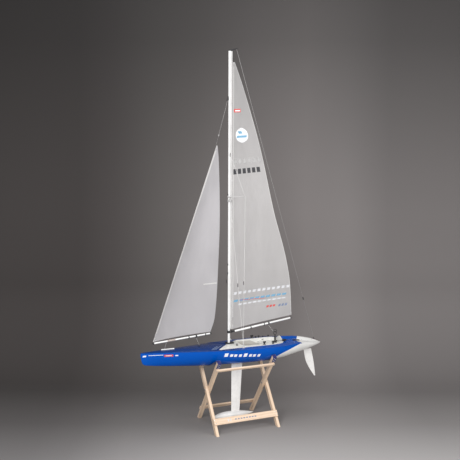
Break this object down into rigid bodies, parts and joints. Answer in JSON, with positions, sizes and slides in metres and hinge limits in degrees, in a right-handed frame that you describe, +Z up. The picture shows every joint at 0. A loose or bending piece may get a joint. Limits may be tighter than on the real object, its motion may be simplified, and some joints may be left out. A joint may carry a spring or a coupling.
{
  "type": "radio-controlled racing yacht on a folding stand",
  "caption": "Radio-controlled racing yacht with swinging main and jib, fin keel, balanced rudder and steering gear, resting in the slings of a folding wooden stand.",
  "frame": {"origin": "on the floor, under the middle of the hull's length and on its centre plane", "axes": "+X aft (the bow points to -X), +Y starboard, +Z up; the boat floats on an even keel along X"},
  "size_m": [1, 0.3048, 1.8928],
  "materials": {
    "hull_blue": "polished blue gelcoat, white towards the stern",
    "deck_blue": "dark blue gelcoat deck, white towards the stern",
    "panel_white": "satin white moulded panel and cockpit",
    "hatch_grey": "grey semi-matt lid",
    "foil_white": "glossy white painted laminate",
    "bulb_white": "white paint over cast ballast",
    "spar_white": "white anodised tube and fittings",
    "fitting_black": "black moulded nylon",
    "sail_cloth": "translucent drafting-film sailcloth with taped seams",
    "steel": "stainless wire and hardware",
    "brass": "drawn brass tube",
    "servo_black": "black moulded case",
    "plywood": "bare birch plywood",
    "pale_wood": "clear-varnished pale softwood",
    "strap_blue": "dark blue woven webbing",
    "battery_sleeve": "green shrink sleeve"
  },
  "bodies": {
    "stand_outer": {"outer_leg_front": "pale_wood", "outer_leg_rear": "pale_wood", "outer_top_rail": "pale_wood", "outer_bottom_rail": "pale_wood", "pivot_bolt_front": "steel", "pivot_bolt_rear": "steel", "sling_strap_front": "strap_blue", "sling_strap_rear": "strap_blue"},
    "stand_inner": {"inner_leg_front": "pale_wood", "inner_leg_rear": "pale_wood", "inner_top_rail": "pale_wood", "inner_bottom_rail": "pale_wood"},
    "boat": {"hull_shell": "hull_blue", "deck": "deck_blue", "cockpit_tray": "panel_white", "power_switch": "servo_black", "sheet_post": "fitting_black", "jib_rack": "spar_white", "jib_sheet_eye": "fitting_black", "chainplate_port": "spar_white", "chainplate_starboard": "spar_white", "backstay_eye": "fitting_black", "keel_fin": "foil_white", "keel_bulb": "bulb_white", "keel_trunk": "panel_white", "keel_bolt": "steel", "rudder_tube": "brass", "rudder_servo": "servo_black", "servo_board": "plywood", "winch_servo": "servo_black", "receiver": "servo_black", "battery_pack": "battery_sleeve", "mast_lower": "spar_white", "mast_upper": "spar_white", "mast_ferrule": "steel", "mast_collar": "fitting_black", "masthead_crane": "fitting_black", "spreader": "spar_white", "shrouds_port": "steel", "shrouds_starboard": "steel", "backstay": "steel", "gooseneck_bracket": "fitting_black"},
    "main_rig": {"gooseneck_knuckle": "fitting_black", "main_boom": "spar_white", "main_boom_cap": "fitting_black", "main_sheet_ring": "fitting_black", "main_sail": "sail_cloth"},
    "jib_rig": {"jib_boom": "spar_white", "jib_sheet_ring": "fitting_black", "jib_sail": "sail_cloth", "jib_swivel_wire": "steel", "forestay": "steel"},
    "rudder_blade": {"rudder": "foil_white", "tiller_arm": "fitting_black"},
    "steering_horn": {"servo_horn": "fitting_black"},
    "pushrod": {"rudder_rod": "steel"},
    "sheet_winch": {"winch_drum": "fitting_black"},
    "hatch": {"radio_hatch": "hatch_grey"},
    "switch": {"switch_slider": "fitting_black"},
    "adjuster": {"backstay_adjuster": "fitting_black"}
  },
  "joints": [
    {"name": "boat_lift", "type": "slide", "parent": "stand_outer", "child": "boat", "axis": [0, 0, 1], "range_m": [0, 0.72]},
    {"name": "stand_fold", "type": "hinge", "parent": "stand_outer", "child": "stand_inner", "pos_m": [0.0092, 0, 0.191], "axis": [1, 0, 0], "range_deg": [-66, 0], "deforming": ["sling_strap_front", "sling_strap_rear"]},
    {"name": "main_swing", "type": "hinge", "parent": "boat", "child": "main_rig", "pos_m": [-0.0195, 0, 0.4765], "axis": [0, 0, 1], "range_deg": [-53, 47]},
    {"name": "jib_swing", "type": "hinge", "parent": "boat", "child": "jib_rig", "pos_m": [-0.3787, 0, 0.4188], "axis": [0.2629, 0, 0.9648], "range_deg": [-53, 47]},
    {"name": "rudder_turn", "type": "hinge", "parent": "boat", "child": "rudder_blade", "pos_m": [0.414, 0, 0.3435], "axis": [0, 0, 1], "range_deg": [-35, 35]},
    {"name": "horn_turn", "type": "hinge", "parent": "boat", "child": "steering_horn", "pos_m": [0.221, -0.027, 0.4136], "axis": [0, 0, 1], "range_deg": [-35, 35]},
    {"name": "rod_travel", "type": "slide", "parent": "boat", "child": "pushrod", "axis": [1, 0, 0], "range_m": [-0.011, 0.011]},
    {"name": "winch_turn", "type": "hinge", "parent": "boat", "child": "sheet_winch", "pos_m": [0.097, 0, 0.3643], "axis": [0, 0, 1], "range_deg": [0, 900]},
    {"name": "hatch_lift", "type": "slide", "parent": "boat", "child": "hatch", "axis": [0, 0, 1], "range_m": [0, 0.05]},
    {"name": "switch_slide", "type": "slide", "parent": "boat", "child": "switch", "axis": [1, 0, 0], "range_m": [0, 0.004]},
    {"name": "adjuster_slide", "type": "slide", "parent": "boat", "child": "adjuster", "axis": [-0.2955, 0, 0.9553], "range_m": [-0.015, 0.015]}
  ],
  "couplings": [
    {"joint": "stand_fold", "follows": "boat_lift", "rad_per_m": -1.6},
    {"joint": "jib_swing", "follows": "main_swing", "ratio": 1},
    {"joint": "horn_turn", "follows": "rudder_turn", "ratio": 1},
    {"joint": "rod_travel", "follows": "rudder_turn", "m_per_rad": 0.017}
  ]
}
